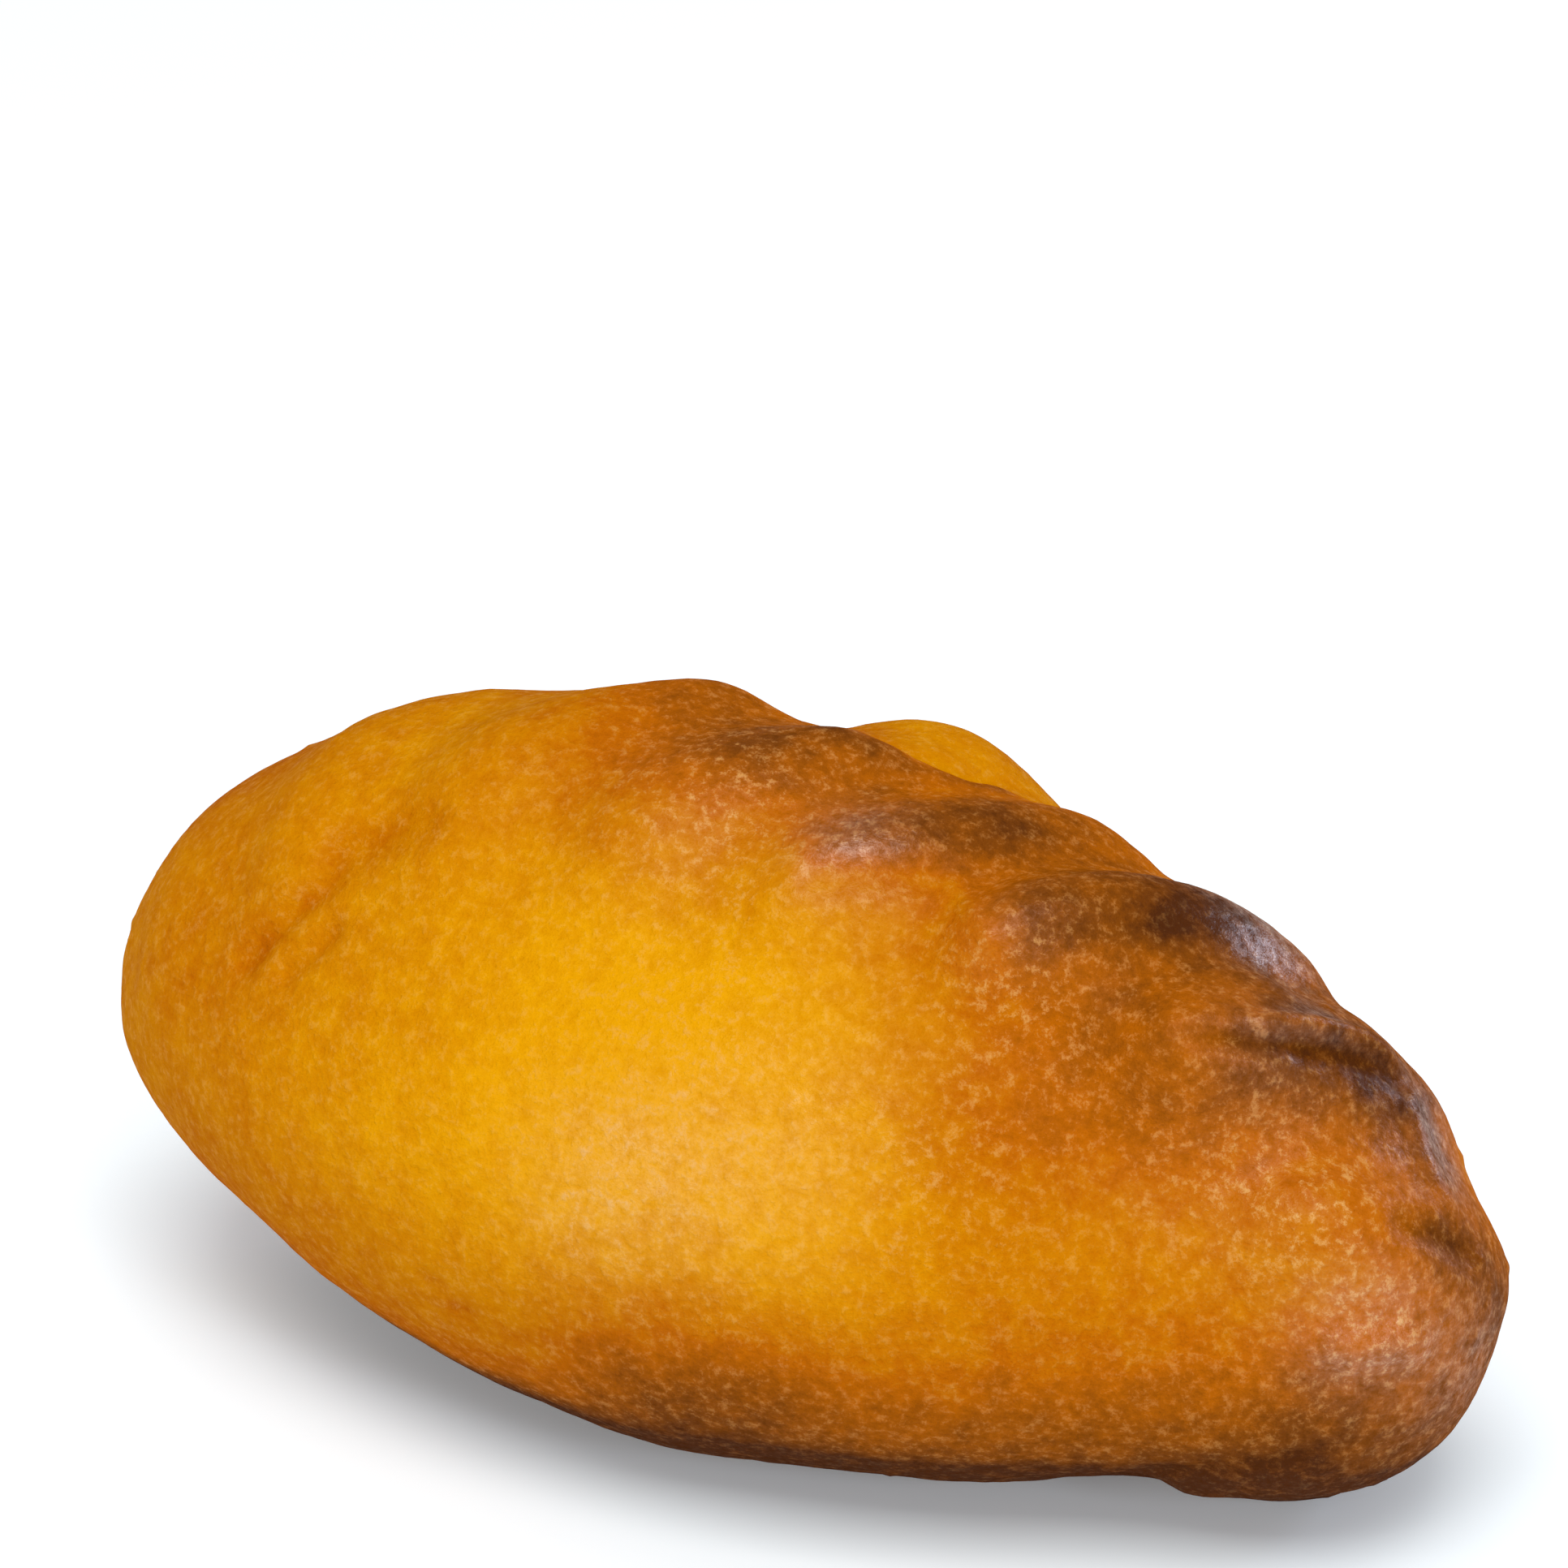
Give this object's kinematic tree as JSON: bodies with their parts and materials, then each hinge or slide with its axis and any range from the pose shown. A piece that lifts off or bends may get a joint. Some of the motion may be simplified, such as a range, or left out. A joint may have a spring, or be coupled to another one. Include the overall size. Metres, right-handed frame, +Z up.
{
  "type": "baked saltena pasty",
  "caption": "Whole baked saltena: a plump egg-shaped golden pasty closed along its top by a seam of leaning pleats, browned on the folds, resting on a flattened underside.",
  "frame": {"origin": "middle of the pasty's box, on the surface that it rests on", "axes": "+X along the long side towards the knob at the seam's end, +Y towards the far side, +Z up"},
  "size_m": [0.1194, 0.0628, 0.0576],
  "materials": {
    "crust": "baked dough with an egg wash: satin golden yellow, orange-brown mottling, dark brown on the folds"
  },
  "bodies": {
    "root": {"crust": "crust"}
  },
  "joints": []
}
